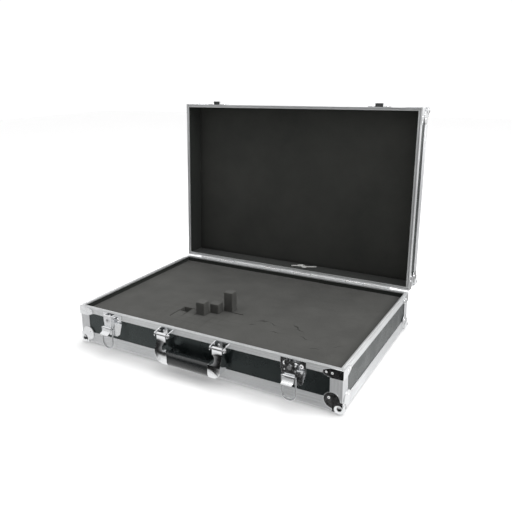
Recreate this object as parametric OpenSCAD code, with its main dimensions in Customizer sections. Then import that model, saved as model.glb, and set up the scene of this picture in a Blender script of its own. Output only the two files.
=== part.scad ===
// Aluminium-framed carry case: base tray with pick-and-pluck foam, hinged lid,
// two lockable toggle latches and a drop handle. Front is -Y, the lid hinges at +Y.

/* [Case] */
// Outer width over the extrusions
case_w = 560; // [480:1:700]
// Outer depth over the extrusions
case_d = 372; // [320:1:460]
// Height of the base tray, bottom extrusion to rim
base_h = 75.5; // [74:0.5:90]
// Height of the lid, rim to top extrusion
lid_h = 57; // [50:0.5:70]
// Angle at which the lid rests open
open_angle = 92.8; // [90:0.1:100]

/* [Panels and extrusions] */
// Thickness of the laminated panels
panel_t = 4; // [3:0.5:5]
// Wall of the aluminium extrusions
skin = 1.2; // [1:0.1:1.5]
// Flange of the edge extrusions
edge_w = 22; // [18:1:26]
// Height of the rim extrusion
rim_h = 12.5; // [11:0.5:16]
// Width of the rim seen from above
rim_w = 6; // [5.5:0.1:8]

/* [Corners] */
// Radius of the round leaves of a ball corner
leaf_r = 14.5; // [12:0.5:17]
// Radius of the ball itself
ball_r = 10; // [9:0.5:11.5]
// Reach of a rim brace along each side
brace_w = 34; // [28:1:45]

/* [Foam] */
// Pitch of the foam cubes
cube_w = 20; // [16:1:24]
// Drop from the rim to the foam's top
foam_drop = 10; // [6:1:14]
// Thickness of the solid foam under the cubes
pad_t = 10; // [6:1:12]
// How far the front cube is pulled up
front_lift = 24; // [10:1:36]
// How far the leaning cube is pulled up
middle_lift = 17; // [10:1:26]
// How far the rear cube is pulled up
rear_lift = 38; // [10:1:40]
// Thickness of the foam in the lid
lining_t = 6; // [4:1:12]

/* [Handle] */
// Distance between the middles of the two handle brackets
handle_span = 120; // [110:1:150]
// Drop from the pins to the bottom of the grip
handle_drop = 55; // [50:1:57]

/* [Latches] */
// Distance of each latch from the middle
latch_x = 194.5; // [170:0.5:215]
// Length of the wire bail, axis to axis
bail_len = 41; // [38:0.5:42]

/* [Hidden] */
$fn = 48;
front = -case_d / 2;
back = case_d / 2;
side = case_w / 2;
base_rim = base_h - skin;
seam = 0.3;
lid_rim = base_rim + seam;
hinge_y = back + 2.8;
knuckle_r = 2.6;
hinge_pin_r = 1.2;
hinge_z = base_rim + seam / 2;
hinge_xs = [-163, -38, 38, 163];
web_t = 3;
groove_w = 1.4;
groove_d = 0.45;
tongue_u = 2.2;
tongue_w = 1.5;
tongue_h = 1.5;
plate_t = 1.2;
rivet_r = 2.4;
pin_gap = 0.05;

// foam cells: the grid's first lines and the cells that are pulled or gone
grid_x = -262;
grid_y = -174;
front_cell = [grid_x + 10 * cube_w, grid_y + 4 * cube_w];
middle_cell = [grid_x + 11 * cube_w, grid_y + 5 * cube_w];
rear_cell = [grid_x + 12 * cube_w, grid_y + 6 * cube_w];
gone_cell = [grid_x + 8 * cube_w, grid_y + 4 * cube_w];
foam_top = base_rim - foam_drop;
foam_side = side - skin - panel_t;
foam_front = back - skin - panel_t;
glue_t = 0.05;

// handle: pins stand this far out of the case
pin_y = front - 17;
pin_z = 65;
pin_r = 1.8;
leg_w = 20;
arm_t = 2;
arm_gap = 26;

// latch: lever pivot, bail axis and keeper, as distances out of the front and heights
pivot_out = 11.5;
pivot_z = 70.5;
pivot_r = 1.25;
bail_out = 16.5;
bail_z = 49;
wire_r = 1.4;
bail_w = 24.8;
hook_out = 5;
lever_w = 18;
lock_z = 63.9;
lock_r = 3.6;
hook_tilt = asin((bail_out - hook_out) / bail_len);
hook_z = bail_z + bail_len * cos(hook_tilt);

// ---------- helpers ----------

// a box given by its low and high corners
module block(low, high) {
  translate(low) cube(high - low);
}

// children drawn in the front-left quadrant, repeated at all four corners
module at_corners() {
  for (mx = [0, 1], my = [0, 1])
    mirror([mx, 0, 0]) mirror([0, my, 0]) children();
}

// an outline in (y, z), run along X between two values
module along_x(x0, x1) {
  translate([x0, 0, 0]) rotate([90, 0, 90]) linear_extrude(x1 - x0) children();
}

// an outline in (x, z), run along Y between two values
module along_y(y0, y1) {
  translate([0, y1, 0]) rotate([90, 0, 0]) linear_extrude(y1 - y0) children();
}

// trays are drawn with the rim in the plane z = 0 and the closed side below
module in_base() {
  translate([0, 0, base_rim]) children();
}

// the lid, moved to where it rests open
module opened() {
  translate([0, hinge_y, hinge_z])
    rotate([-open_angle, 0, 0])
      translate([0, -hinge_y, -hinge_z]) children();
}

module in_lid() {
  opened() translate([0, 0, lid_rim]) mirror([0, 0, 1]) children();
}

// domed head of a rivet on the plane z = 0, standing in +Z
module rivet_head(r = rivet_r) {
  intersection() {
    translate([0, 0, -r * 0.55]) sphere(r * 1.15);
    translate([0, 0, r]) cube(2 * r, center = true);
  }
}

// a rivet head that stands out of the front
module front_rivet(x, z, out, r = rivet_r) {
  translate([x, front - out, z]) rotate([90, 0, 0]) rivet_head(r);
}

// ---------- trays ----------

// L-shaped edge extrusion, corner at the origin, grooved outside
module edge_profile() {
  step = edge_w / 4;
  difference() {
    union() {
      translate([1.5, 0]) square([edge_w - 1.5, skin]);
      translate([0, 1.5]) square([skin, edge_w - 1.5]);
      intersection() {
        translate([1.5, 1.5]) circle(1.5);
        square(1.5);
      }
    }
    translate([skin, skin]) square(edge_w);
    for (i = [1:3]) {
      translate([i * step - groove_w / 2, -1]) square([groove_w, 1 + groove_d]);
      translate([-1, i * step - groove_w / 2]) square([1 + groove_d, groove_w]);
    }
  }
}

// the outer face is left full between the flanges and the corner leaves
module floor_panel(h) {
  low = -h + skin;
  clear = edge_w + 0.5;
  cut = 39 + leaf_r * sqrt(2) - clear;
  block([-side + skin, front + skin, low + glue_t], [side - skin, back - skin, low + panel_t]);
  x = side - clear;
  y = back - clear;
  translate([0, 0, low]) linear_extrude(1) polygon([
    [-x, y - cut], [-x, cut - y], [cut - x, -y], [x - cut, -y],
    [x, cut - y], [x, y - cut], [x - cut, y], [cut - x, y]
  ]);
}

module long_panel(h) {
  block([-side + skin, front + skin, -h + skin + panel_t], [side - skin, front + skin + panel_t, -web_t]);
}

module side_panel(h) {
  inset = skin + panel_t;
  block([-side + skin, front + inset, -h + inset], [-side + inset, back - inset, -web_t]);
}

module edge_bars(h) {
  for (my = [0, 1]) mirror([0, my, 0])
    along_x(-side + edge_w, side - edge_w) translate([front, -h]) edge_profile();
  for (mx = [0, 1]) mirror([mx, 0, 0])
    along_y(front + edge_w, back - edge_w) translate([-side, -h]) edge_profile();
}

module corner_posts(h) {
  at_corners()
    translate([-side, front, -h]) linear_extrude(h - rim_h) edge_profile();
}

// grooves in the rim's outer face, in (inward, up)
module rim_grooves() {
  for (v = [-4.2, -8.4])
    translate([-1, v - groove_w / 2]) square([1 + groove_d, groove_w]);
}

// front or back rim bar; joint is "tongue", "groove" or "plain"
module rim_long(joint) {
  inner = side - rim_w;
  difference() {
    union() {
      along_x(-side, side) translate([front, 0]) difference() {
        translate([0, -rim_h]) square([skin, rim_h]);
        rim_grooves();
      }
      block([-side, front + skin, -web_t], [side, front + rim_w, 0]);
      if (joint == "tongue")
        block([-inner, front + tongue_u, 0], [inner, front + tongue_u + tongue_w, tongue_h]);
    }
    if (joint == "groove")
      block(
        [-side + tongue_u - 0.6, front + tongue_u - 0.6, -tongue_h - 0.4],
        [side - tongue_u + 0.6, front + tongue_u + tongue_w + 0.6, 1]
      );
  }
}

// left rim bar, between the two long ones
module rim_side(joint) {
  inner = back - rim_w;
  difference() {
    union() {
      along_y(front + skin, back - skin) translate([-side, 0]) difference() {
        translate([0, -rim_h]) square([skin, rim_h - web_t]);
        rim_grooves();
      }
      block([-side, -inner, -web_t], [-side + rim_w, inner, 0]);
      if (joint == "tongue")
        block([-side + tongue_u, -inner + 0.4, 0], [-side + tongue_u + tongue_w, inner - 12, tongue_h]);
    }
    if (joint == "groove")
      block(
        [-side + tongue_u - 0.6, -back, -tongue_h - 0.4],
        [-side + tongue_u + tongue_w + 0.6, back, 1]
      );
  }
}

// one leaf of a ball corner, on the plane z = 0, standing in -Z
module corner_leaf() {
  translate([0, 0, -plate_t]) linear_extrude(plate_t) {
    translate([19, 18]) circle(leaf_r);
    translate([-plate_t, -plate_t]) square([19 + plate_t, 18 + plate_t]);
  }
}

// ball corner with its corner at the origin and the case in +X +Y +Z
module ball_corner() {
  corner_leaf();
  rotate([90, 0, 90]) corner_leaf();
  rotate([0, -90, -90]) corner_leaf();
  difference() {
    translate([5.5, 5.5, 5.5]) sphere(ball_r);
    cube(40);
  }
}

module ball_corners(h) {
  at_corners() translate([-side, front, -h]) ball_corner();
}

// outline of a rim brace on one face, in (along, up)
module brace_outline() {
  polygon([
    [-plate_t, -18], [brace_w * 0.62, -18], [brace_w, -12.5],
    [brace_w, -6], [brace_w * 0.62, -0.8], [-plate_t, -0.8]
  ]);
}

module rim_braces() {
  at_corners() {
    along_y(front - plate_t, front) translate([-side, 0]) brace_outline();
    along_x(-side - plate_t, -side) translate([front, 0]) brace_outline();
  }
}

// rivets of the ball corners and the rim braces
module corner_rivets(h) {
  at = 22.8;
  lift = plate_t;
  at_corners() {
    translate([-side + at, front + at, -h - lift]) rotate([180, 0, 0]) rivet_head();
    translate([-side + at, front - lift, -h + at]) rotate([90, 0, 0]) rivet_head();
    translate([-side - lift, front + at, -h + at]) rotate([0, -90, 0]) rivet_head();
    for (reach = [17.8, 28]) {
      translate([-side + reach, front - lift, -9]) rotate([90, 0, 0]) rivet_head(2);
      translate([-side - lift, front + reach, -9]) rotate([0, -90, 0]) rivet_head(2);
    }
  }
}

// ---------- foam ----------

// a foam cube's shaft, whose walls stop short of the next cell's
module shaft(cell, depth) {
  slack = 0.2;
  block(
    [cell[0] + slack, cell[1] + slack, foam_top - depth],
    [cell[0] + cube_w - slack, cell[1] + cube_w - slack, foam_top + 1]
  );
}

module foam_block() {
  low = panel_t + pad_t;
  difference() {
    block([-foam_side, -foam_front, low], [foam_side, foam_front, foam_top]);
    shaft(front_cell, foam_top);
    shaft(middle_cell, foam_top);
    shaft(rear_cell, foam_top);
    shaft(gone_cell, 14);
  }
}

// a cube as tall as the block, pulled up
module pulled_cube(cell, lift) {
  low = panel_t + pad_t + lift;
  trim = 0.4;
  block(
    [cell[0] + trim, cell[1] + trim, low],
    [cell[0] + cube_w - trim, cell[1] + cube_w - trim, foam_top + lift]
  );
}

// ---------- latch ----------

module plate_outline(top) {
  polygon([[-23, 53], [-23, top], [23, top], [23, 53], [17, 32], [9.5, 27], [-9.5, 27], [-17, 32]]);
}

module latch_plate() {
  lower = base_rim - rim_h - 0.2;
  ear_in = lever_w / 2 + 0.3;
  ear_out = ear_in + 1.4;
  along_y(front - plate_t, front) plate_outline(base_rim - 1.4);
  along_y(front, front + skin) intersection() {
    plate_outline(lower);
    translate([-30, 20]) square([60, lower - 20]);
  }
  for (s = [-1, 1]) {
    x0 = s > 0 ? ear_in : -ear_out;
    difference() {
      along_x(x0, x0 + 1.4) {
        translate([front - pivot_out, pivot_z]) circle(2.8);
        translate([front - pivot_out, pivot_z - 2.8]) square([pivot_out - plate_t / 2, 5.6]);
      }
      along_x(x0 - 1, x0 + 3) translate([front - pivot_out, pivot_z]) circle(pivot_r);
    }
  }
  // catch that the lock's cam turns behind
  block([-4, front - 10, 53.4], [4, front - plate_t / 2, 54.6]);
  block([-4, front - 10, 53.4], [4, front - 8.6, 59]);
}

module latch_pin() {
  ear_out = lever_w / 2 + 1.7;
  along_x(-ear_out, ear_out) translate([front - pivot_out, pivot_z]) circle(pivot_r);
}

module lever_side() {
  polygon([
    [front - 14, 48], [front - 8, 51], [front - 6, 58],
    [front - 6, 73], [front - 14, 73]
  ]);
}

// finger tab below the bail's barrel: a curled lip that ends turned down
module finger_tab() {
  along_x(-10, 10) polygon([
    [front - 14.6, 47.6], [front - 16.6, 46.8], [front - 18.1, 44.6], [front - 19.3, 42.5],
    [front - 20.9, 40.9], [front - 22.9, 40], [front - 24.9, 39.4], [front - 26.3, 38.3],
    [front - 27.1, 36.8], [front - 28.1, 37.2], [front - 27.4, 39], [front - 25.9, 40.4],
    [front - 23.6, 41.2], [front - 21.6, 42.1], [front - 20.3, 43.6], [front - 19.3, 45.6],
    [front - 18.2, 47.6], [front - 16, 49.5]
  ]);
}

module latch_lever() {
  half = lever_w / 2;
  difference() {
    union() {
      block([-half, front - 14, 48], [half, front - 12.8, 73]);
      for (x0 = [-half, half - 1.2]) along_x(x0, x0 + 1.2) lever_side();
      // turned top edge and the raised collar of the lock
      block([-half, front - 15.4, 73], [half, front - 12.8, 74.2]);
      along_y(front - 15, front - 12.8) translate([0, lock_z]) circle(5);
      along_x(-10.6, 10.6) translate([front - bail_out, bail_z]) circle(2.6);
      finger_tab();
    }
    along_x(-20, 20) translate([front - bail_out, bail_z]) circle(wire_r + pin_gap);
    along_x(-20, 20) translate([front - pivot_out, pivot_z]) circle(pivot_r + pin_gap);
    along_y(front - 20, front - 9) translate([0, lock_z]) circle(lock_r + pin_gap);
  }
}

module lock_cylinder() {
  difference() {
    union() {
      along_y(front - 15.4, front - 8) translate([0, lock_z]) circle(lock_r);
      along_y(front - 8, front - 6.8) {
        translate([0, lock_z]) circle(3);
        translate([0, lock_z - 2]) square([7, 4]);
      }
    }
    // keyhole
    along_y(front - 16, front - 12) {
      translate([0, lock_z + 0.9]) circle(1.1);
      translate([-0.5, lock_z - 2.2]) square([1, 3]);
    }
  }
}

// D-shaped wire ring hanging from its straight bar
module bail() {
  bend_r = bail_w / 2;
  low = bail_z - (bail_len - bend_r);
  translate([0, front - bail_out, 0]) {
    translate([-bend_r - wire_r, 0, bail_z]) rotate([0, 90, 0]) cylinder(h = bail_w + 2 * wire_r, r = wire_r);
    for (s = [-1, 1]) translate([s * bend_r, 0, low]) cylinder(h = bail_z - low, r = wire_r);
    translate([0, 0, low]) rotate([90, 180, 0])
      rotate_extrude(angle = 180) translate([bend_r, 0]) circle(wire_r);
  }
}

// keeper on the lid's front, drawn at the height it has with the lid closed
module keeper() {
  stud_top = hook_z - wire_r - 0.3;
  stud_z = stud_top - 8.5;
  lid_edge = lid_rim + 2.2;
  along_y(front - plate_t, front) polygon([
    [-24, lid_edge], [24, lid_edge], [24, lid_edge + 14],
    [17, lid_edge + 22], [-17, lid_edge + 22], [-24, lid_edge + 14]
  ]);
  along_y(front - 6.9, front - plate_t) intersection() {
    translate([0, stud_z]) circle(8.5);
    translate([-20, lid_edge - 1]) square([40, 30]);
  }
  // lip that holds the bail down behind it
  along_y(front - 7.9, front - 6.7) polygon([
    [-8, lid_edge - 1], [8, lid_edge - 1], [8, stud_top - 4],
    [4.5, stud_top + 1.3], [-4.5, stud_top + 1.3], [-8, stud_top - 4]
  ]);
}

// ---------- handle ----------

module handle_bracket() {
  half = arm_gap / 2;
  block([-half - arm_t, front - plate_t, 57.5], [half + arm_t, front, 72.3]);
  for (x0 = [-half - arm_t, half]) difference() {
    along_x(x0, x0 + arm_t) {
      polygon([[front - 0.6, 57.5], [front - 0.6, 72.3], [pin_y, pin_z + 4.8], [pin_y, pin_z - 4.8]]);
      translate([pin_y, pin_z]) circle(4.8);
    }
    along_x(x0 - 1, x0 + arm_t + 1) translate([pin_y, pin_z]) circle(pin_r);
  }
}

// pin with a mushroom head at each end
module handle_pin() {
  half = arm_gap / 2 + arm_t;
  translate([0, pin_y, pin_z]) rotate([0, 90, 0]) {
    translate([0, 0, -half - 0.4]) cylinder(h = 2 * half + 0.8, r = pin_r);
    translate([0, 0, half]) cylinder(h = 1.6, r1 = 3.4, r2 = 2.4);
    translate([0, 0, -half - 1.6]) cylinder(h = 1.6, r1 = 2.4, r2 = 3.4);
  }
}

// right end of the handle: a loop on the pin, a leg and a cap round the grip's end
module handle_end() {
  mid = handle_span / 2;
  outer = mid + leg_w / 2;
  inner = mid - leg_w / 2;
  low = pin_z - handle_drop;
  bend = 24;
  difference() {
    union() {
      along_x(inner, outer) translate([pin_y, pin_z]) circle(4);
      intersection() {
        // outline seen from the front
        along_y(pin_y - 20, pin_y + 20) difference() {
          union() {
            translate([inner, low + bend]) square([leg_w, pin_z - low - bend]);
            translate([outer - bend, low + bend]) circle(bend);
            translate([inner - 2, low]) square([outer - bend - inner + 2, bend]);
          }
          translate([inner - 12, low + 28]) square([12, 60]);
          // finger opening in the leg's inner edge
          translate([inner - 2.5, low + 36]) circle(8.5);
          translate([inner - 12, low - 1]) square([6, 60]);
        }
        // outline seen from the side: flat leg, full round cap
        along_x(inner - 10, outer + 10) {
          translate([pin_y - 3.4, low + 26]) square([6.8, pin_z - low - 26]);
          polygon([
            [pin_y - 3.4, low + 44], [pin_y - 10.6, low + 27], [pin_y - 10.6, low + 8], [pin_y - 7.5, low + 2],
            [pin_y - 4, low], [pin_y + 4, low], [pin_y + 7.5, low + 2],
            [pin_y + 10.6, low + 8], [pin_y + 10.6, low + 27], [pin_y + 3.4, low + 44]
          ]);
        }
      }
    }
    along_x(inner - 1, outer + 1) translate([pin_y, pin_z]) circle(pin_r + pin_gap);
    // socket that the grip's end fills
    along_x(inner - 10, inner + 6) grip_outline(0);
  }
}

// the grip's cross-section in (y, z)
module grip_outline(trim) {
  low = pin_z - handle_drop + 1.6;
  r = 7;
  half = 9.4 - trim;
  tall = 24 - 2 * trim;
  for (dy = [-half + r, half - r], dz = [r, tall - r])
    translate([pin_y + dy, low + trim + dz]) circle(r);
  translate([pin_y - half, low + trim + r]) square([2 * half, tall - 2 * r]);
  translate([pin_y - half + r, low + trim]) square([2 * half - 2 * r, tall]);
}

module grip() {
  reach = handle_span / 2 - leg_w / 2;
  along_x(-reach - 6, reach + 6) grip_outline(0);
}

module strap() {
  reach = handle_span / 2 - leg_w / 2 - 6;
  low = pin_z - handle_drop;
  block([-reach, pin_y - 5, low + 0.2], [reach, pin_y + 5, low + 1.6]);
}

// ---------- hinges ----------

// leaf on one half: s is -1 below the axis and 1 above it
module hinge_leaf(s, knuckles) {
  gap = 3.4;
  z1 = s * gap;
  z2 = s * 24;
  block([-20, back, min(z1, z2)], [20, back + plate_t, max(z1, z2)]);
  // step that brings the leaf down on the panel below the rim
  z3 = s * (rim_h + 0.5);
  block([-20, back - skin, min(z3, z2)], [20, back, max(z3, z2)]);
  for (k = knuckles) difference() {
    along_x(k[0], k[1]) {
      translate([hinge_y, 0]) circle(knuckle_r);
      polygon([
        [back, s * (gap + 1)], [back, s * 1.4], [hinge_y - 2, s * 0.4],
        [hinge_y, s * 2.4], [back + plate_t, s * (gap + 1)]
      ]);
    }
    along_x(k[0] - 1, k[1] + 1) translate([hinge_y, 0]) circle(hinge_pin_r + pin_gap);
  }
}

// rolled strip between the hinges that closes the slot behind the base's rim
module hinge_cover() {
  spans = [[-240, hinge_xs[0] - 21], [hinge_xs[0] + 21, hinge_xs[1] - 21],
    [hinge_xs[1] + 21, hinge_xs[2] - 21], [hinge_xs[2] + 21, hinge_xs[3] - 21], [hinge_xs[3] + 21, 240]];
  for (x = spans) along_x(x[0], x[1]) difference() {
    union() {
      translate([hinge_y, hinge_z]) circle(knuckle_r - 0.1);
      translate([back - 0.3, base_rim - 5.4]) square([1.1, 4.6]);
      translate([back - 0.3, base_rim - 2]) square([2.4, 1.2]);
    }
    translate([hinge_y, hinge_z]) circle(hinge_pin_r + 0.3);
  }
}

module at_hinges() {
  for (x = hinge_xs) translate([x, 0, hinge_z]) children();
}

module leaf_rivets(s) {
  for (x = [-13, 0, 13], z = [9, 18])
    translate([x, back + plate_t, s * z]) rotate([-90, 0, 0]) rivet_head(1.9);
}

// ---------- keys ----------

// flat key against the lid's back wall: round bow at the origin, blade along +X
module key_flat(blade) {
  t = 1.6;
  rotate([90, 0, 0]) linear_extrude(t) difference() {
    union() {
      circle(6.5);
      translate([4, -1.9]) square([blade, 3.8]);
      for (x = [9:3:blade]) translate([x, -3.1]) square([1.6, 3]);
    }
    translate([-3, 0]) circle(1.7);
  }
}

// where the keys lie: x, depth in the lid
module at_keys(x, depth) {
  opened() translate([x, back - skin - panel_t - 0.02, lid_rim + depth]) children();
}

// ---------- base ----------

module base_bottom_panel() color("#2c3436") in_base() floor_panel(base_h);
module base_front_panel() color("#2c3436") in_base() long_panel(base_h);
module base_back_panel() color("#2c3436") in_base() mirror([0, 1, 0]) long_panel(base_h);
module base_left_panel() color("#2c3436") in_base() side_panel(base_h);
module base_right_panel() color("#2c3436") in_base() mirror([1, 0, 0]) side_panel(base_h);
module base_edge_extrusions() color("#c4c8ca") in_base() edge_bars(base_h);
module base_corner_posts() color("#c4c8ca") in_base() corner_posts(base_h);
module base_rim_front() color("#d2d5d6") in_base() rim_long("tongue");
module base_rim_back() color("#d2d5d6") {
  in_base() mirror([0, 1, 0]) rim_long("plain");
  hinge_cover();
}
module base_rim_left() color("#d2d5d6") in_base() rim_side("tongue");
module base_rim_right() color("#d2d5d6") in_base() mirror([1, 0, 0]) rim_side("tongue");
module base_ball_corners() color("#e2e4e4") in_base() ball_corners(base_h);
module base_rim_braces() color("#e2e4e4") in_base() rim_braces();

module base_rivets() color("#eceeee") {
  in_base() corner_rivets(base_h);
  for (s = [-1, 1]) {
    for (x = [-15, 15]) front_rivet(s * latch_x + x, 62.8, plate_t, 3.6);
    for (x = [-15, 15]) front_rivet(s * latch_x + x, 51.5, plate_t, 1.6);
    for (x = [-8, 8]) front_rivet(s * handle_span / 2 + x, 64.8, plate_t, 2.2);
  }
  at_hinges() leaf_rivets(-1);
}

module foam_base_pad() color("#4f4f4b")
  block([-foam_side, -foam_front, panel_t], [foam_side, foam_front, panel_t + pad_t]);
module foam_cube_block() color("#4f4f4b") foam_block();
module foam_cube_front() color("#5b5b57") pulled_cube(front_cell, front_lift);
module foam_cube_middle() color("#5b5b57") pulled_cube(middle_cell, middle_lift);
module foam_cube_rear() color("#5b5b57") pulled_cube(rear_cell, rear_lift);

module latch_plate_left() color("#d8dadb") translate([-latch_x, 0, 0]) latch_plate();
module latch_plate_right() color("#d8dadb") translate([latch_x, 0, 0]) latch_plate();
module latch_pins() color("#c0c2c4")
  for (s = [-1, 1]) translate([s * latch_x, 0, 0]) latch_pin();

module handle_bracket_left() color("#d8dadb") translate([-handle_span / 2, 0, 0]) handle_bracket();
module handle_bracket_right() color("#d8dadb") translate([handle_span / 2, 0, 0]) handle_bracket();
module handle_pins() color("#c0c2c4")
  for (s = [-1, 1]) translate([s * handle_span / 2, 0, 0]) handle_pin();

module hinge_base_leaves() color("#d8dadb") at_hinges() hinge_leaf(-1, [[-20, -7], [7, 20]]);
module hinge_pins() color("#c0c2c4")
  at_hinges() along_x(-20.4, 20.4) translate([hinge_y, 0]) circle(hinge_pin_r);

// ---------- lid ----------

module lid_top_panel() color("#2c3436") in_lid() floor_panel(lid_h);
module lid_front_panel() color("#2c3436") in_lid() long_panel(lid_h);
module lid_back_panel() color("#2c3436") in_lid() mirror([0, 1, 0]) long_panel(lid_h);
module lid_left_panel() color("#2c3436") in_lid() side_panel(lid_h);
module lid_right_panel() color("#2c3436") in_lid() mirror([1, 0, 0]) side_panel(lid_h);
module lid_edge_extrusions() color("#c4c8ca") in_lid() edge_bars(lid_h);
module lid_corner_posts() color("#c4c8ca") in_lid() corner_posts(lid_h);
module lid_rim_front() color("#d2d5d6") in_lid() rim_long("groove");
module lid_rim_back() color("#d2d5d6") in_lid() mirror([0, 1, 0]) rim_long("groove");
module lid_rim_left() color("#d2d5d6") in_lid() rim_side("groove");
module lid_rim_right() color("#d2d5d6") in_lid() mirror([1, 0, 0]) rim_side("groove");
module lid_ball_corners() color("#e2e4e4") in_lid() ball_corners(lid_h);
module lid_rim_braces() color("#e2e4e4") in_lid() rim_braces();

module lid_rivets() color("#eceeee") {
  in_lid() corner_rivets(lid_h);
  opened() {
    for (s = [-1, 1], x = [-15.5, 15.5])
      front_rivet(s * latch_x + x, lid_rim + 9, plate_t, 3.2);
    at_hinges() leaf_rivets(1);
  }
}

module lid_foam_lining() color("#2d2d2a") in_lid()
  block(
    [-side + skin + panel_t, front + skin + panel_t, -lid_h + skin + panel_t],
    [side - skin - panel_t, back - skin - panel_t, -lid_h + skin + panel_t + lining_t]
  );

module keeper_left() color("#d8dadb") opened() translate([-latch_x, 0, 0]) keeper();
module keeper_right() color("#d8dadb") opened() translate([latch_x, 0, 0]) keeper();
module hinge_lid_leaves() color("#d8dadb") opened() at_hinges() hinge_leaf(1, [[-6.6, 6.6]]);

module key_long() color("#c9ccce") at_keys(30, 27) rotate([0, -30, 0]) key_flat(24);
module key_short() color("#c9ccce") at_keys(17, 31) rotate([0, 148, 0]) key_flat(16);
module key_ring() color("#c9ccce") at_keys(23.5, 29)
  translate([0, -2.4, 0]) rotate([90, 0, 0]) rotate_extrude() translate([5, 0]) circle(0.7);

// ---------- handle ----------

module handle_grip() color("#1b1d1e") grip();
module handle_strap() color("#d8dadb") strap();
module handle_end_left() color("#d8dadb") mirror([1, 0, 0]) handle_end();
module handle_end_right() color("#d8dadb") handle_end();

// ---------- latches ----------

module latch_lever_left() color("#d8dadb") translate([-latch_x, 0, 0]) latch_lever();
module latch_lever_right() color("#d8dadb") translate([latch_x, 0, 0]) latch_lever();
module latch_bail_left() color("#c9ccce") translate([-latch_x, 0, 0]) bail();
module latch_bail_right() color("#c9ccce") translate([latch_x, 0, 0]) bail();
module lock_cylinder_left() color("#c0c2c4") translate([-latch_x, 0, 0]) lock_cylinder();
module lock_cylinder_right() color("#c0c2c4") translate([latch_x, 0, 0]) lock_cylinder();

base_bottom_panel();
base_front_panel();
base_back_panel();
base_left_panel();
base_right_panel();
base_edge_extrusions();
base_corner_posts();
base_rim_front();
base_rim_back();
base_rim_left();
base_rim_right();
base_ball_corners();
base_rim_braces();
base_rivets();
foam_base_pad();
foam_cube_block();
foam_cube_front();
foam_cube_middle();
foam_cube_rear();
latch_plate_left();
latch_plate_right();
latch_pins();
handle_bracket_left();
handle_bracket_right();
handle_pins();
hinge_base_leaves();
hinge_pins();
lid_top_panel();
lid_front_panel();
lid_back_panel();
lid_left_panel();
lid_right_panel();
lid_edge_extrusions();
lid_corner_posts();
lid_rim_front();
lid_rim_back();
lid_rim_left();
lid_rim_right();
lid_ball_corners();
lid_rim_braces();
lid_rivets();
lid_foam_lining();
keeper_left();
keeper_right();
hinge_lid_leaves();
key_long();
key_short();
key_ring();
handle_grip();
handle_strap();
handle_end_left();
handle_end_right();
latch_lever_left();
latch_lever_right();
latch_bail_left();
latch_bail_right();
lock_cylinder_left();
lock_cylinder_right();
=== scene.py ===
import math

import bmesh
import bpy
from mathutils import Matrix, Vector, noise


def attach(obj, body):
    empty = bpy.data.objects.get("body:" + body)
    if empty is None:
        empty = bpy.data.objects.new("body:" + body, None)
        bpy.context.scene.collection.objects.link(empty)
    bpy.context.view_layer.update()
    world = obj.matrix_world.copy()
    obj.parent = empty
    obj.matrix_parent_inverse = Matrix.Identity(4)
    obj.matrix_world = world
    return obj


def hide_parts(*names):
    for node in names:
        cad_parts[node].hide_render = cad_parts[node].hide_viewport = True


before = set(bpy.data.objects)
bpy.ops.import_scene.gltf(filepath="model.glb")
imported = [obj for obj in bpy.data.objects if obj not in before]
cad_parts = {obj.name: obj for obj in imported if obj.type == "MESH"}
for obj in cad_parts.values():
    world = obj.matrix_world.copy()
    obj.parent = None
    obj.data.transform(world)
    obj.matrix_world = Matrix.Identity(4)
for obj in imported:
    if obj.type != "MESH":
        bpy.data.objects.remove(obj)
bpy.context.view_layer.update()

# places and sizes of the CAD model, in metres
FRONT = -0.186                            # the case's front face
HINGE = Vector((0.0, 0.1888, 0.07445))    # a point on the lid hinge's axis
OPEN_ANGLE = math.radians(92.8)
LID_RIM = 0.0746                          # lower edge of the closed lid
LID_H = 0.057
SKIN = 0.0012                             # thickness of the bars' sheet over the panels
PANEL_T = 0.004


# ---------- materials ----------

# nearly all of a noise texture's values lie between these
NOISE_LOW, NOISE_HIGH = 0.3, 0.7


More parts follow.
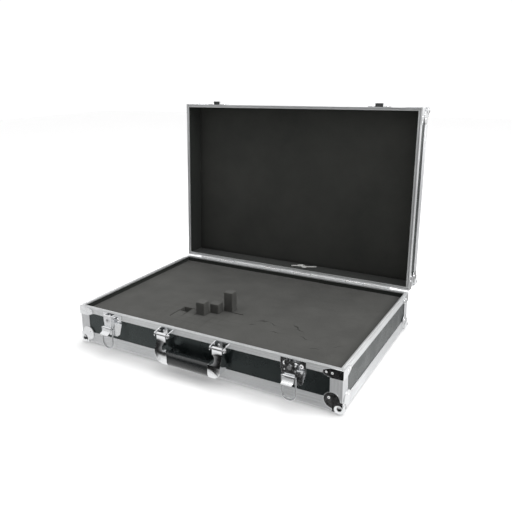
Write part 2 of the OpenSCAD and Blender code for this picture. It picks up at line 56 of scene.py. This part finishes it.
class Shader:
    """A node material with a Principled shader and a few helpers to feed it."""

    def __init__(self, name, base, rough, metal=0.0):
        self.mat = bpy.data.materials.new(name)
        self.mat.use_nodes = True
        self.tree = self.mat.node_tree
        self.tree.nodes.clear()
        self.out = self.add("ShaderNodeOutputMaterial")
        self.bsdf = self.add("ShaderNodeBsdfPrincipled")
        self.link(self.bsdf.outputs[0], self.out.inputs[0])
        self.set("Base Color", (*base, 1.0))
        self.set("Roughness", rough)
        self.set("Metallic", metal)
        self.coords = self.add("ShaderNodeTexCoord").outputs["Object"]
        self.normal = None

    def add(self, kind, **values):
        node = self.tree.nodes.new(kind)
        for key, value in values.items():
            setattr(node, key, value)
        return node

    def link(self, a, b):
        self.tree.links.new(a, b)

    def set(self, name, value):
        self.bsdf.inputs[name].default_value = value

    def stretched(self, scale):
        """Object coordinates scaled along each axis."""
        node = self.add("ShaderNodeMapping")
        node.inputs["Scale"].default_value = scale
        self.link(self.coords, node.inputs["Vector"])
        return node.outputs[0]

    def noise(self, scale, detail=3.0, rough=0.5, vector=None):
        node = self.add("ShaderNodeTexNoise")
        node.inputs["Scale"].default_value = scale
        node.inputs["Detail"].default_value = detail
        node.inputs["Roughness"].default_value = rough
        self.link(vector or self.coords, node.inputs["Vector"])
        return node.outputs["Fac"]

    def cells(self, scale):
        node = self.add("ShaderNodeTexVoronoi", feature="F1")
        node.inputs["Scale"].default_value = scale
        self.link(self.coords, node.inputs["Vector"])
        return node.outputs["Distance"]

    def ramp(self, source, stops):
        """Colours, or grey levels, along a value from 0 to 1."""
        node = self.add("ShaderNodeValToRGB")
        band = node.color_ramp
        while len(band.elements) < len(stops):
            band.elements.new(0.5)
        for element, (at, colour) in zip(band.elements, stops):
            grey = not isinstance(colour, tuple)
            element.position = at
            element.color = (colour, colour, colour, 1.0) if grey else (*colour, 1.0)
        self.link(source, node.inputs[0])
        return node.outputs[0]

    def colour(self, source, stops):
        self.link(self.ramp(source, stops), self.bsdf.inputs["Base Color"])

    def roughness(self, source, low, high):
        level = self.ramp(source, [(NOISE_LOW, low), (NOISE_HIGH, high)])
        self.link(level, self.bsdf.inputs["Roughness"])

    def bump(self, source, distance, strength):
        """Adds a bump on top of the ones already there."""
        node = self.add("ShaderNodeBump")
        node.inputs["Distance"].default_value = distance
        node.inputs["Strength"].default_value = strength
        self.link(source, node.inputs["Height"])
        if self.normal:
            self.link(self.normal, node.inputs["Normal"])
        self.normal = node.outputs[0]
        self.link(self.normal, self.bsdf.inputs["Normal"])


def make_panel():
    """Satin laminate with a fine pebbled grain."""
    s = Shader("panel_laminate", (0.006, 0.008, 0.0083), 0.28)
    dark, light = (0.005, 0.0068, 0.0071), (0.0075, 0.0098, 0.0102)
    s.colour(s.noise(90, 4, 0.6), [(NOISE_LOW, dark), (NOISE_HIGH, light)])
    s.roughness(s.noise(35, 3), 0.22, 0.33)
    s.bump(s.cells(520), 0.00012, 0.5)
    s.bump(s.noise(1400, 2), 0.00003, 0.5)
    s.set("Specular IOR Level", 0.75)
    s.set("Specular Tint", (0.86, 1.0, 0.99, 1.0))
    return s.mat


def make_aluminium(name, scale, tint=(0.73, 0.74, 0.75)):
    """Bright drawn aluminium, with fine die lines along the bar."""
    s = Shader(name, tint, 0.34, 0.72)
    lines = s.noise(1.0, 4, 0.7, s.stretched(scale))
    dark = tuple(c * 0.9 for c in tint)
    s.colour(s.noise(14, 3), [(NOISE_LOW, dark), (NOISE_HIGH, tint)])
    s.roughness(lines, 0.28, 0.46)
    s.bump(lines, 0.00003, 0.5)
    s.bump(s.noise(60, 2), 0.00012, 0.25)
    return s.mat


def make_chrome(name, tint, rough):
    """Plated pressed steel, a little wavy, with faint wipe marks."""
    s = Shader(name, tint, rough, 1.0)
    s.roughness(s.noise(160, 5, 0.65), rough * 0.7, rough * 1.9)
    s.bump(s.noise(70, 2), 0.00022, 0.5)
    s.bump(s.noise(900, 3), 0.00001, 0.5)
    return s.mat


def make_steel(name, tint, low, high, metal=1.0):
    """Plain turned or stamped steel with short scratches."""
    s = Shader(name, tint, 0.3, metal)
    s.roughness(s.noise(1.0, 4, 0.7, s.stretched((300, 2200, 2200))), low, high)
    s.bump(s.noise(700, 3), 0.00002, 0.6)
    return s.mat


def make_grip():
    """Glossy black moulding with faint sink marks."""
    s = Shader("grip_gloss_black", (0.010, 0.012, 0.013), 0.28)
    s.roughness(s.noise(60, 3), 0.24, 0.32)
    s.bump(s.noise(45, 2), 0.0002, 0.25)
    s.set("Coat Weight", 0.6)
    s.set("Coat Roughness", 0.16)
    return s.mat


def make_foam(name, dark, mid, light, pore, blotch):
    """Open-cell foam: pores of a depth, scattered dark cells and soft blotches of a scale."""
    s = Shader(name, mid, 0.95)
    pores = s.cells(1150)
    speck = s.noise(620, 4, 0.75)
    patch = s.noise(blotch, 4, 0.6)
    mix = s.add("ShaderNodeMix", data_type="FLOAT")
    mix.inputs[0].default_value = 0.55
    s.link(speck, mix.inputs[2])
    s.link(patch, mix.inputs[3])
    s.colour(mix.outputs[0], [(0.34, dark), (0.5, mid), (0.68, light)])
    s.roughness(speck, 0.88, 1.0)
    s.bump(pores, pore, 0.7)
    s.bump(speck, pore * 0.8, 0.7)
    s.set("Specular IOR Level", 0.25)
    s.set("Sheen Weight", 0.12)
    s.set("Sheen Roughness", 0.5)
    return s.mat


def make_floor():
    """Pale matt floor that glows a very little, so that it meets the white backdrop softly."""
    s = Shader("studio_floor", (0.97, 0.97, 0.97), 0.75)
    s.colour(s.noise(3, 2), [(NOISE_LOW, 0.965), (NOISE_HIGH, 0.975)])
    s.set("Specular IOR Level", 0.1)
    s.set("Emission Color", (1.0, 1.0, 1.0, 1.0))
    s.set("Emission Strength", 0.03)
    return s.mat


PANEL = make_panel()
BAR_LEVEL = make_aluminium("aluminium_bar", (6, 6, 2600))
BAR_UPRIGHT = make_aluminium("aluminium_post", (2600, 2600, 6))
RIM = make_aluminium("aluminium_rim", (6, 6, 2600), (0.78, 0.79, 0.795))
CHROME = make_chrome("chrome_plate", (0.80, 0.81, 0.82), 0.1)
WIRE = make_chrome("chrome_wire", (0.50, 0.51, 0.52), 0.08)
BRIGHT = make_chrome("chrome_rivet", (0.88, 0.88, 0.89), 0.08)
STEEL = make_steel("pin_steel", (0.60, 0.60, 0.61), 0.22, 0.42)
NICKEL = make_steel("key_nickel", (0.95, 0.95, 0.93), 0.35, 0.55, 0.25)
GRIP = make_grip()
TRAY_FOAM = make_foam(
    "tray_foam", (0.040, 0.040, 0.037), (0.054, 0.054, 0.050), (0.069, 0.069, 0.064),
    pore=0.00045, blotch=16,
)
# the tray foam again, only lighter, for the pulled-up cubes: painted light on the cubes that stand
# up into the light
CUBE_FOAM_PAINTED_LIGHT = make_foam(
    "tray_foam_painted_light", (0.046, 0.046, 0.043), (0.062, 0.062, 0.058), (0.080, 0.080, 0.074),
    pore=0.00045, blotch=16,
)
LID_FOAM = make_foam(
    "lid_foam", (0.022, 0.023, 0.021), (0.030, 0.031, 0.028), (0.039, 0.039, 0.036),
    pore=0.0002, blotch=9,
)
WALL_LINING = make_foam(
    "wall_lining", (0.014, 0.016, 0.014), (0.019, 0.0215, 0.019), (0.024, 0.027, 0.023),
    pore=0.0001, blotch=9,
)


# ---------- pieces ----------

# angles in degrees: sharper corners than these stay creased, or are bevelled
CREASE = 38
SOFT_CREASE = 60
NO_CREASE = 180
BEVEL_CORNER = 35

# widths of softened edges, in metres
BAR_EDGE = 0.00018
RIM_EDGE = 0.00028
PANEL_EDGE = 0.0003
PIN_EDGE = 0.00015
STAMPED_EDGE = 0.0003
PRESSED_EDGE = 0.0004
BRACE_EDGE = 0.0005
END_CAP_EDGE = 0.0012
PAD_EDGE = 0.0004

BALL_VOXEL = 0.0006
BALL_PASSES = 5

# roughly the middle of each half's hollow, with the lid open
HOLLOW = {"base": Vector((0, 0, 0.04)), "lid": Vector((0, 0.22, 0.26))}
LINED_AREA = 0.004    # a panel's inner face is larger than this, its edges are smaller


def mesh_object(name, bm, mat, body, crease=CREASE):
    """A finished bmesh as a smooth-shaded object that rides on a body."""
    mesh = bpy.data.meshes.new(name)
    bm.to_mesh(mesh)
    bm.free()
    for layer in ("custom_normal", "sharp_edge", "sharp_face"):
        if layer in mesh.attributes:
            mesh.attributes.remove(mesh.attributes[layer])
    mesh.materials.clear()
    mesh.materials.append(mat)
    obj = bpy.data.objects.new(name, mesh)
    bpy.context.scene.collection.objects.link(obj)
    mesh.shade_smooth()
    mesh.set_sharp_from_angle(angle=math.radians(crease))
    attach(obj, body)
    return obj


def cad_bmesh(node):
    """A CAD node's surface as one clean bmesh of joined flat faces."""
    bm = bmesh.new()
    bm.from_mesh(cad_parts[node].data)
    bmesh.ops.remove_doubles(bm, verts=bm.verts, dist=2e-6)
    bmesh.ops.dissolve_limit(bm, angle_limit=math.radians(0.6), verts=bm.verts, edges=bm.edges)
    return bm


def recast(node, mat, body, edge=0.0, segments=1, crease=CREASE):
    """A CAD node's shape with softened edges, which stands for the node."""
    obj = mesh_object(node + "_finish", cad_bmesh(node), mat, body, crease)
    if edge:
        mod = obj.modifiers.new("edge", "BEVEL")
        mod.width = edge
        mod.segments = segments
        mod.limit_method = "ANGLE"
        mod.angle_limit = math.radians(BEVEL_CORNER)
        mod.use_clamp_overlap = True
        mod.harden_normals = False
    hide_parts(node)
    return obj


def pressed(node, mat, body, voxel, passes):
    """A CAD node's shape as one pressed skin, its inside corners filled and its edges rolled."""
    obj = mesh_object(node + "_pressed", cad_bmesh(node), mat, body, NO_CREASE)
    mod = obj.modifiers.new("skin", "REMESH")
    mod.mode = "VOXEL"
    mod.voxel_size = voxel
    mod.use_smooth_shade = True
    soft = obj.modifiers.new("roll", "SMOOTH")
    soft.factor = 0.5
    soft.iterations = passes
    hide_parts(node)
    return obj


def lined(obj, half):
    """Gives a panel's face that looks into the case the matt wall lining."""
    mesh = obj.data
    mesh.materials.append(WALL_LINING)
    place = obj.matrix_world
    for face in mesh.polygons:
        inward = HOLLOW[half] - place @ face.center
        normal = place.to_3x3() @ face.normal
        if normal.dot(inward) > 0 and face.area > LINED_AREA:
            face.material_index = 1
    return obj


def put_slot(obj):
    """Returns a piece as it is; it names nothing."""
    return obj


for half in ("base", "lid"):
    put_slot(recast(half + "_edge_extrusions", BAR_LEVEL, half, BAR_EDGE))
    put_slot(recast(half + "_corner_posts", BAR_UPRIGHT, half, BAR_EDGE))
    for place in ("front", "back", "left", "right"):
        put_slot(recast(f"{half}_rim_{place}", RIM, half, RIM_EDGE, 2))
        put_slot(lined(recast(f"{half}_{place}_panel", PANEL, half, PANEL_EDGE), half))
    put_slot(recast(half + "_rim_braces", CHROME, half, BRACE_EDGE, 3))
    put_slot(recast(half + "_rivets", BRIGHT, half, crease=55))
    put_slot(pressed(half + "_ball_corners", CHROME, half, BALL_VOXEL, BALL_PASSES))
put_slot(recast("base_bottom_panel", PANEL, "base", PANEL_EDGE))
put_slot(recast("lid_top_panel", PANEL, "lid", PANEL_EDGE))

for hand in ("left", "right"):
    put_slot(recast("latch_plate_" + hand, CHROME, "base", PRESSED_EDGE, 3))
    put_slot(recast("handle_bracket_" + hand, CHROME, "base", PRESSED_EDGE, 3))
    put_slot(recast("keeper_" + hand, CHROME, "lid", PRESSED_EDGE, 3))
    put_slot(recast("latch_lever_" + hand, CHROME, "lever_" + hand, STAMPED_EDGE, 3))
    put_slot(recast("latch_bail_" + hand, WIRE, "bail_" + hand, crease=SOFT_CREASE))
    put_slot(recast("lock_cylinder_" + hand, STEEL, "lock_" + hand, PIN_EDGE, 2))
    put_slot(recast("handle_end_" + hand, CHROME, "handle", END_CAP_EDGE, 4, 50))
for pins in ("latch_pins", "handle_pins", "hinge_pins"):
    put_slot(recast(pins, STEEL, "base", PIN_EDGE, 2))
put_slot(recast("hinge_base_leaves", BRIGHT, "base", STAMPED_EDGE, 2))
put_slot(recast("hinge_lid_leaves", BRIGHT, "lid", STAMPED_EDGE, 2))
put_slot(recast("handle_strap", RIM, "handle", STAMPED_EDGE, 2))
for key in ("key_long", "key_short"):
    put_slot(recast(key, NICKEL, "lid", STAMPED_EDGE, 2))
put_slot(recast("key_ring", NICKEL, "lid", crease=SOFT_CREASE))


# ---------- foam ----------

CELL = 0.020
GRID = (-0.262, -0.174)    # left front corner of the cell grid
FOAM_X, FOAM_Y = 0.2748, 0.1808    # half the block's width and depth
FOAM_LOW, FOAM_TOP = 0.014, 0.0643
FOAM_FLOOR = FOAM_LOW + 0.0002    # where the block's skin ends, just over the base pad
# pulled-up cubes: cell across, cell back, and how far it is lifted
CUBES = {"front": (10, 4, 0.024), "middle": (11, 5, 0.017), "rear": (12, 6, 0.038)}
CUBE_TRIM = 0.0005      # play on each side of a pulled cube
UPRIGHT_LEAN = (0.0, 0.012)
MIDDLE_LEAN = (-0.045, 0.05)
POCKET = (8, 4)         # the cell that is plucked out
POCKET_DEPTH = 0.0135
CUT_HALF = 0.00035      # a closed cut's half width
CELL_SOFT = 0.0012      # how far from a cut the cells start to round off
NEAR = 1e-5             # a point this near to a line is on it
HANDLED = (-0.05, -0.08)    # the cuts show more around this place
# cuts that gape: (axis, fixed line, from, to, half width, depth), in metres
GAPES = [
    ("y", GRID[0] + 8 * CELL, -0.124, -0.093, 0.0011, 0.006),
    ("x", GRID[1] + 6 * CELL, -0.003, 0.022, 0.0011, 0.007),
    ("x", GRID[1] + 5 * CELL, -0.083, -0.060, 0.0007, 0.004),
    ("y", GRID[0] + 10 * CELL, -0.100, -0.070, 0.0006, 0.004),
    ("y", GRID[0] + 9 * CELL, -0.110, -0.090, 0.0006, 0.003),
]
# dents and lifted scars on the right: (x, y, length, turn, depth)
SCARS = [
    (0.073, -0.062, 0.016, 0.5, 0.0016), (0.094, -0.066, 0.013, -0.4, 0.0013),
    (0.144, -0.061, 0.024, -0.7, 0.0018), (0.060, -0.085, 0.010, 0.9, 0.0010),
    (0.115, -0.095, 0.012, 0.2, 0.0010), (0.170, -0.092, 0.014, -0.3, 0.0012),
    (0.205, -0.120, 0.016, 0.6, 0.0010), (0.235, -0.098, 0.010, 1.2, 0.0009),
]


def grid_lines(origin, limit):
    """Vertex positions along one side of the foam: on each cut, beside it, and across each cell."""
    marks = {round(-limit, 6), round(limit, 6)}
    step = 0
    while origin + step * CELL < limit:
        at = origin + step * CELL
        for shift in (-CELL_SOFT, -CUT_HALF, 0.0, CUT_HALF, CELL_SOFT):
            if -limit < at + shift < limit:
                marks.add(round(at + shift, 6))
        for part in (0.25, 0.5, 0.75):
            if -limit < at + part * CELL < limit:
                marks.add(round(at + part * CELL, 6))
        step += 1
    return sorted(marks)


def gape_depth(x, y):
    """How deep an open cut is at a point of the foam's top."""
    deepest = 0.0
    run_in, least = 0.006, 0.15
    for axis, line, start, end, half, depth in GAPES:
        across, along = (y - line, x) if axis == "x" else (x - line, y)
        if start <= along <= end and abs(across) < half:
            taper = min(1.0, (along - start) / run_in + least, (end - along) / run_in + least)
            deepest = max(deepest, depth * taper)
    return deepest


def foam_height(x, y, on_cut):
    """Height of the foam's top: soft waves, closed cuts between cells, scars and a rolled rim."""
    wave = noise.noise(Vector((x * 9, y * 9, 0.3))) * 0.0007
    wave += noise.noise(Vector((x * 34, y * 34, 2.1))) * 0.00028
    near = math.exp(-((x - HANDLED[0]) ** 2 + (y - HANDLED[1]) ** 2) / 0.0035)
    cut = (0.00012 + 0.00045 * near) * on_cut
    scar = 0.0
    for sx, sy, length, turn, depth in SCARS:
        along = (x - sx) * math.cos(turn) + (y - sy) * math.sin(turn)
        across = (y - sy) * math.cos(turn) - (x - sx) * math.sin(turn)
        across += 0.0016 * math.sin(along * 300)    # a scar is not straight
        if abs(along) < length and abs(across) < 0.004:
            reach = 1 - abs(along) / length
            # a groove, and a lifted lip beside it
            scar -= depth * reach * math.exp(-(across / 0.0009) ** 2)
            scar += depth * 0.7 * reach * math.exp(-((across - 0.002) / 0.0011) ** 2)
    rim = min(FOAM_X - abs(x), FOAM_Y - abs(y))
    edge = -0.0012 * math.exp(-rim / 0.0025)
    highest, sunk = 0.0008, 0.0006
    return min(wave, highest) - cut + scar + edge - sunk


def cell_of(x, y):
    """Which cell of the grid a point is in."""
    return int((x - GRID[0]) // CELL), int((y - GRID[1]) // CELL)


def skirt(bm):
    """Pulls a wall out of every open edge of a sheet, and returns the wall's new vertices."""
    open_edges = [e for e in bm.edges if len(e.link_faces) == 1]
    wall = bmesh.ops.extrude_edge_only(bm, edges=open_edges)
    return [g for g in wall["geom"] if isinstance(g, bmesh.types.BMVert)]


def make_foam_block():
    """Tray foam: one skin over all cells, with its shafts and its pocket left open."""
    xs, ys = grid_lines(GRID[0], FOAM_X), grid_lines(GRID[1], FOAM_Y)
    # a line every millimetre where the scars are
    xs = sorted(set(xs) | {round(0.001 * k, 6) for k in range(56, 182)})
    ys = sorted(set(ys) | {round(-0.001 * k, 6) for k in range(50, 128)})
    for axis, line, _, _, half, _ in GAPES:
        across = xs if axis == "y" else ys
        for part in (-0.98, -0.4, 0.4, 0.98, -1.6, 1.6):
            across.append(round(line + half * part, 6))
        across.sort()
    on_x = {round(GRID[0] + k * CELL, 6) for k in range(40)}
    on_y = {round(GRID[1] + k * CELL, 6) for k in range(30)}
    bm = bmesh.new()
    rows = []
    for y in ys:
        row = []
        for x in xs:
            z = FOAM_TOP + foam_height(x, y, x in on_x or y in on_y) - gape_depth(x, y)
            row.append(bm.verts.new((x, y, z)))
        rows.append(row)
    holes = {(across, back) for across, back, _ in CUBES.values()} | {POCKET}
    for j in range(len(ys) - 1):
        for i in range(len(xs) - 1):
            cell = cell_of((xs[i] + xs[i + 1]) / 2, (ys[j] + ys[j + 1]) / 2)
            if cell not in holes:
                bm.faces.new((rows[j][i], rows[j][i + 1], rows[j + 1][i + 1], rows[j + 1][i]))
    loose = [v for v in bm.verts if not v.link_faces]
    bmesh.ops.delete(bm, geom=loose, context="VERTS")
    left, right = (GRID[0] + (POCKET[0] + k) * CELL for k in (0, 1))
    front, back = (GRID[1] + (POCKET[1] + k) * CELL for k in (0, 1))
    for v in skirt(bm):
        outside = abs(v.co.x) > FOAM_X - NEAR or abs(v.co.y) > FOAM_Y - NEAR
        in_pocket = left - NEAR <= v.co.x <= right + NEAR and front - NEAR <= v.co.y <= back + NEAR
        v.co.z = FOAM_TOP - POCKET_DEPTH if in_pocket and not outside else FOAM_FLOOR
    # the pocket's floor closes the only open edges that are not at the bottom
    bottom = FOAM_LOW + 0.02
    pocket_floor = [e for e in bm.edges
                    if len(e.link_faces) == 1 and all(v.co.z > bottom for v in e.verts)]
    bmesh.ops.contextual_create(bm, geom=pocket_floor)
    bmesh.ops.recalc_face_normals(bm, faces=bm.faces)
    block = mesh_object("foam_block_cut", bm, TRAY_FOAM, "base", SOFT_CREASE)
    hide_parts("foam_cube_block")
    put_slot(block)


def rough_cube(name, low, high, mat, lean, seed):
    """A cut block of foam with soft, slightly ragged edges, leaning from near its foot."""
    edge, ragged, pinch, foot = 0.0011, 0.00035, 0.02, 0.03
    bm = bmesh.new()
    bmesh.ops.create_cube(bm, size=1.0)
    size = Vector(high) - Vector(low)
    middle = (Vector(high) + Vector(low)) / 2
    bmesh.ops.scale(bm, vec=size, verts=bm.verts)
    bmesh.ops.bevel(bm, geom=bm.edges[:], offset=edge, segments=2, profile=0.5, affect="EDGES")
    long_edges = [e for e in bm.edges if e.calc_length() > 0.006]
    bmesh.ops.subdivide_edges(bm, edges=long_edges, cuts=7, use_grid_fill=True)
    for v in bm.verts:
        push = noise.noise(Vector(v.co) * 190 + Vector((seed, 0, 0))) * ragged
        waist = 1 - pinch * (1 - min(1.0, abs(v.co.z) / (size.z / 2)))
        v.co.x = v.co.x * waist + push
        v.co.y = v.co.y * waist + noise.noise(Vector(v.co) * 170 + Vector((0, seed, 5))) * ragged
        v.co.x += lean[0] * (v.co.z + size.z / 2 - foot)
        v.co.y += lean[1] * (v.co.z + size.z / 2 - foot)
    bmesh.ops.translate(bm, vec=middle, verts=bm.verts)
    obj = mesh_object(name, bm, mat, "base", SOFT_CREASE)
    put_slot(obj)
    return obj


def make_foam_pieces():
    """The tray's foam: the block, the pulled cubes, and the pad under them."""
    make_foam_block()
    for seed, (name, (i, j, lift)) in enumerate(CUBES.items()):
        x = GRID[0] + i * CELL
        y = GRID[1] + j * CELL
        lean = MIDDLE_LEAN if name == "middle" else UPRIGHT_LEAN
        piece = rough_cube(
            "foam_cube_" + name + "_cut",
            (x + CUBE_TRIM, y + CUBE_TRIM, FOAM_LOW + lift),
            (x + CELL - CUBE_TRIM, y + CELL - CUBE_TRIM, FOAM_TOP + lift),
            # the lighter copy of the tray foam: painted light on the raised cube
            CUBE_FOAM_PAINTED_LIGHT, lean, 3.0 * seed,
        )
        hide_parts("foam_cube_" + name)
    pad = recast("foam_base_pad", TRAY_FOAM, "base", PAD_EDGE, 2)
    put_slot(pad)


def open_matrix():
    """Takes a point of the closed lid to where it is with the lid open."""
    turn = Matrix.Rotation(-OPEN_ANGLE, 4, "X")
    return Matrix.Translation(HINGE) @ turn @ Matrix.Translation(-HINGE)


def make_lining():
    """Lid foam glued in under tension: gentle puckers, and rolled edges where it meets the walls."""
    half_x, half_y = 0.2747, 0.1807
    deep = LID_RIM + LID_H - SKIN - PANEL_T    # inner face of the closed lid's top panel
    face = deep - 0.006                        # the CAD lining's face
    columns, lines = 110, 72
    bm = bmesh.new()
    rows = []
    for j in range(lines + 1):
        row = []
        for i in range(columns + 1):
            x = -half_x + 2 * half_x * i / columns
            y = -half_y + 2 * half_y * j / lines
            rim = min(half_x - abs(x), half_y - abs(y))
            pucker = noise.noise(Vector((x * 11, y * 11, 4.0))) * 0.0007
            pucker += noise.noise(Vector((x * 45, y * 45, 9.0))) * 0.00018
            roll = 0.0022 * math.exp(-rim / 0.0035)
            z = face + 0.0009 + pucker + roll
            row.append(bm.verts.new((x, y, max(z, face + 0.00005))))
        rows.append(row)
    for j in range(lines):
        for i in range(columns):
            bm.faces.new((rows[j][i], rows[j][i + 1], rows[j + 1][i + 1], rows[j + 1][i]))
    for v in skirt(bm):
        v.co.z = deep - 0.0001
    bmesh.ops.contextual_create(bm, geom=[e for e in bm.edges if len(e.link_faces) == 1])
    bmesh.ops.recalc_face_normals(bm, faces=bm.faces)
    bm.transform(open_matrix())
    lining = mesh_object("lid_lining", bm, LID_FOAM, "lid", SOFT_CREASE)
    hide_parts("lid_foam_lining")
    put_slot(lining)


def make_grip_piece():
    """Moulded grip: a rounded section that swells a little between its end caps."""
    low, tall, half_deep = 0.0116, 0.024, 0.0094
    pin_y = FRONT - 0.017
    half_long = 0.056
    steps, around = 28, 40
    squareness = 0.62    # 1 would be an ellipse
    bm = bmesh.new()
    rings = []
    for k in range(steps + 1):
        t = k / steps
        x = -half_long + 2 * half_long * t
        swell = 0.965 + 0.035 * math.sin(math.pi * t) ** 0.6
        ring = []
        for a in range(around):
            angle = 2 * math.pi * a / around
            c, s = math.cos(angle), math.sin(angle)
            dy = half_deep * swell * math.copysign(abs(c) ** squareness, c)
            dz = tall / 2 * swell * math.copysign(abs(s) ** squareness, s)
            ring.append(bm.verts.new((x, pin_y + dy, low + tall / 2 + dz)))
        rings.append(ring)
    for k in range(steps):
        for a in range(around):
            b = (a + 1) % around
            bm.faces.new((rings[k][a], rings[k + 1][a], rings[k + 1][b], rings[k][b]))
    bm.faces.new(rings[0])
    bm.faces.new(list(reversed(rings[-1])))
    bmesh.ops.recalc_face_normals(bm, faces=bm.faces)
    grip = mesh_object("handle_grip_moulded", bm, GRIP, "handle", SOFT_CREASE)
    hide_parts("handle_grip")
    put_slot(grip)


make_foam_pieces()
make_lining()
make_grip_piece()


# ---------- camera, floor and light ----------

CAMERA_PLACE = (0.5568, -0.9486, 0.5181)
FLOOR_Z = -0.0058    # the bottom ball corners stand on it
FLOOR_SIZE = 6.0
WORLD_LEVEL = 1.05


def make_camera():
    """The photo's camera, solved from the case's straight edges."""
    yaw = math.radians(-30.268)
    pitch = math.radians(-15.344)
    roll = math.radians(-0.979)
    level = math.cos(pitch)
    forward = Vector((math.sin(yaw) * level, math.cos(yaw) * level, math.sin(pitch)))
    right = forward.cross(Vector((0, 0, 1))).normalized()
    up = right.cross(forward)
    right_rolled = right * math.cos(roll) + up * math.sin(roll)
    up_rolled = up * math.cos(roll) - right * math.sin(roll)
    data = bpy.data.cameras.new("camera")
    data.sensor_width = 36.0
    data.lens = 40.46
    data.shift_x = 0.0177
    data.shift_y = -0.0477
    data.clip_start = 0.02
    data.clip_end = 50.0
    cam = bpy.data.objects.new("camera", data)
    cam.matrix_world = Matrix((
        (right_rolled.x, up_rolled.x, -forward.x, CAMERA_PLACE[0]),
        (right_rolled.y, up_rolled.y, -forward.y, CAMERA_PLACE[1]),
        (right_rolled.z, up_rolled.z, -forward.z, CAMERA_PLACE[2]),
        (0, 0, 0, 1),
    ))
    bpy.context.scene.collection.objects.link(cam)
    bpy.context.scene.camera = cam


def make_floor_plane():
    """A floor that the chrome doesn't mirror."""
    bm = bmesh.new()
    bmesh.ops.create_grid(bm, x_segments=1, y_segments=1, size=FLOOR_SIZE)
    mesh = bpy.data.meshes.new("floor")
    bm.to_mesh(mesh)
    bm.free()
    mesh.materials.append(make_floor())
    floor = bpy.data.objects.new("floor", mesh)
    floor.location = (0, 0, FLOOR_Z)
    floor.visible_glossy = False
    bpy.context.scene.collection.objects.link(floor)


def area_light(name, place, target, size, power):
    """A square soft light that looks at a point."""
    data = bpy.data.lights.new(name, "AREA")
    data.energy = power
    data.size = size
    obj = bpy.data.objects.new(name, data)
    obj.location = place
    aim = Vector(target) - Vector(place)
    obj.rotation_euler = aim.to_track_quat("-Z", "Y").to_euler()
    bpy.context.scene.collection.objects.link(obj)


def make_world():
    """Surroundings that the metal mirrors: a pale room that is dark low in front of the case."""
    world = bpy.data.worlds.new("studio")
    bpy.context.scene.world = world
    world.use_nodes = True
    tree = world.node_tree
    tree.nodes.clear()
    out = tree.nodes.new("ShaderNodeOutputWorld")
    back = tree.nodes.new("ShaderNodeBackground")
    coords = tree.nodes.new("ShaderNodeTexCoord")
    split = tree.nodes.new("ShaderNodeSeparateXYZ")
    tree.links.new(coords.outputs["Generated"], split.inputs[0])

    def ramp(source, stops):
        """Grey levels along a direction's part on one axis, -1 to 1."""
        span = tree.nodes.new("ShaderNodeMapRange")
        span.inputs["From Min"].default_value = -1.0
        span.inputs["From Max"].default_value = 1.0
        tree.links.new(source, span.inputs["Value"])
        node = tree.nodes.new("ShaderNodeValToRGB")
        band = node.color_ramp
        while len(band.elements) < len(stops):
            band.elements.new(0.5)
        for element, (at, level) in zip(band.elements, stops):
            element.position = at
            element.color = (level, level, level, 1.0)
        tree.links.new(span.outputs[0], node.inputs[0])
        return node.outputs[0]

    # along Y: dark in front, then a bright stripe with a dimmer one beside it, then a pale room
    depth = ramp(split.outputs["Y"], [
        (0.085, 0.006), (0.112, 0.015), (0.130, 0.14), (0.145, 0.7), (0.158, 0.95),
        (0.170, 0.45), (0.186, 0.92), (0.5, 1.0),
    ])
    # along Z: overhead light, and a dim band low down, which is used only behind the case
    height = ramp(split.outputs["Z"], [(0.5, 0.0), (0.72, 0.55), (1.0, 0.8)])
    band = ramp(split.outputs["Z"], [(0.26, 1.0), (0.33, 0.35), (0.42, 0.18), (0.47, 1.0)])
    behind = ramp(split.outputs["Y"], [(0.70, 0.0), (0.82, 1.0)])

    def blend(kind, fac, a, b):
        node = tree.nodes.new("ShaderNodeMix")
        node.data_type = "RGBA"
        node.blend_type = kind
        if isinstance(fac, float):
            node.inputs[0].default_value = fac
        else:
            tree.links.new(fac, node.inputs[0])
        tree.links.new(a, node.inputs[6])
        tree.links.new(b, node.inputs[7])
        return node.outputs[2]

    dimmed = blend("MULTIPLY", behind, depth, band)
    # what the camera itself sees is plain white, from every side
    path = tree.nodes.new("ShaderNodeLightPath")
    white = tree.nodes.new("ShaderNodeRGB")
    white.outputs[0].default_value = (1.0, 1.0, 1.0, 1.0)
    lit = blend("LIGHTEN", 1.0, dimmed, height)
    seen = blend("MIX", path.outputs["Is Camera Ray"], lit, white.outputs[0])
    tree.links.new(seen, back.inputs["Color"])
    back.inputs["Strength"].default_value = WORLD_LEVEL
    tree.links.new(back.outputs[0], out.inputs[0])


make_camera()
make_floor_plane()
area_light("key", (1.8, 0.15, 1.3), (0, 0, 0.1), 0.9, 15)
area_light("top", (0.0, 0.75, 2.5), (0, 0, 0), 1.7, 24)
make_world()
bpy.context.scene.view_settings.view_transform = "Standard"
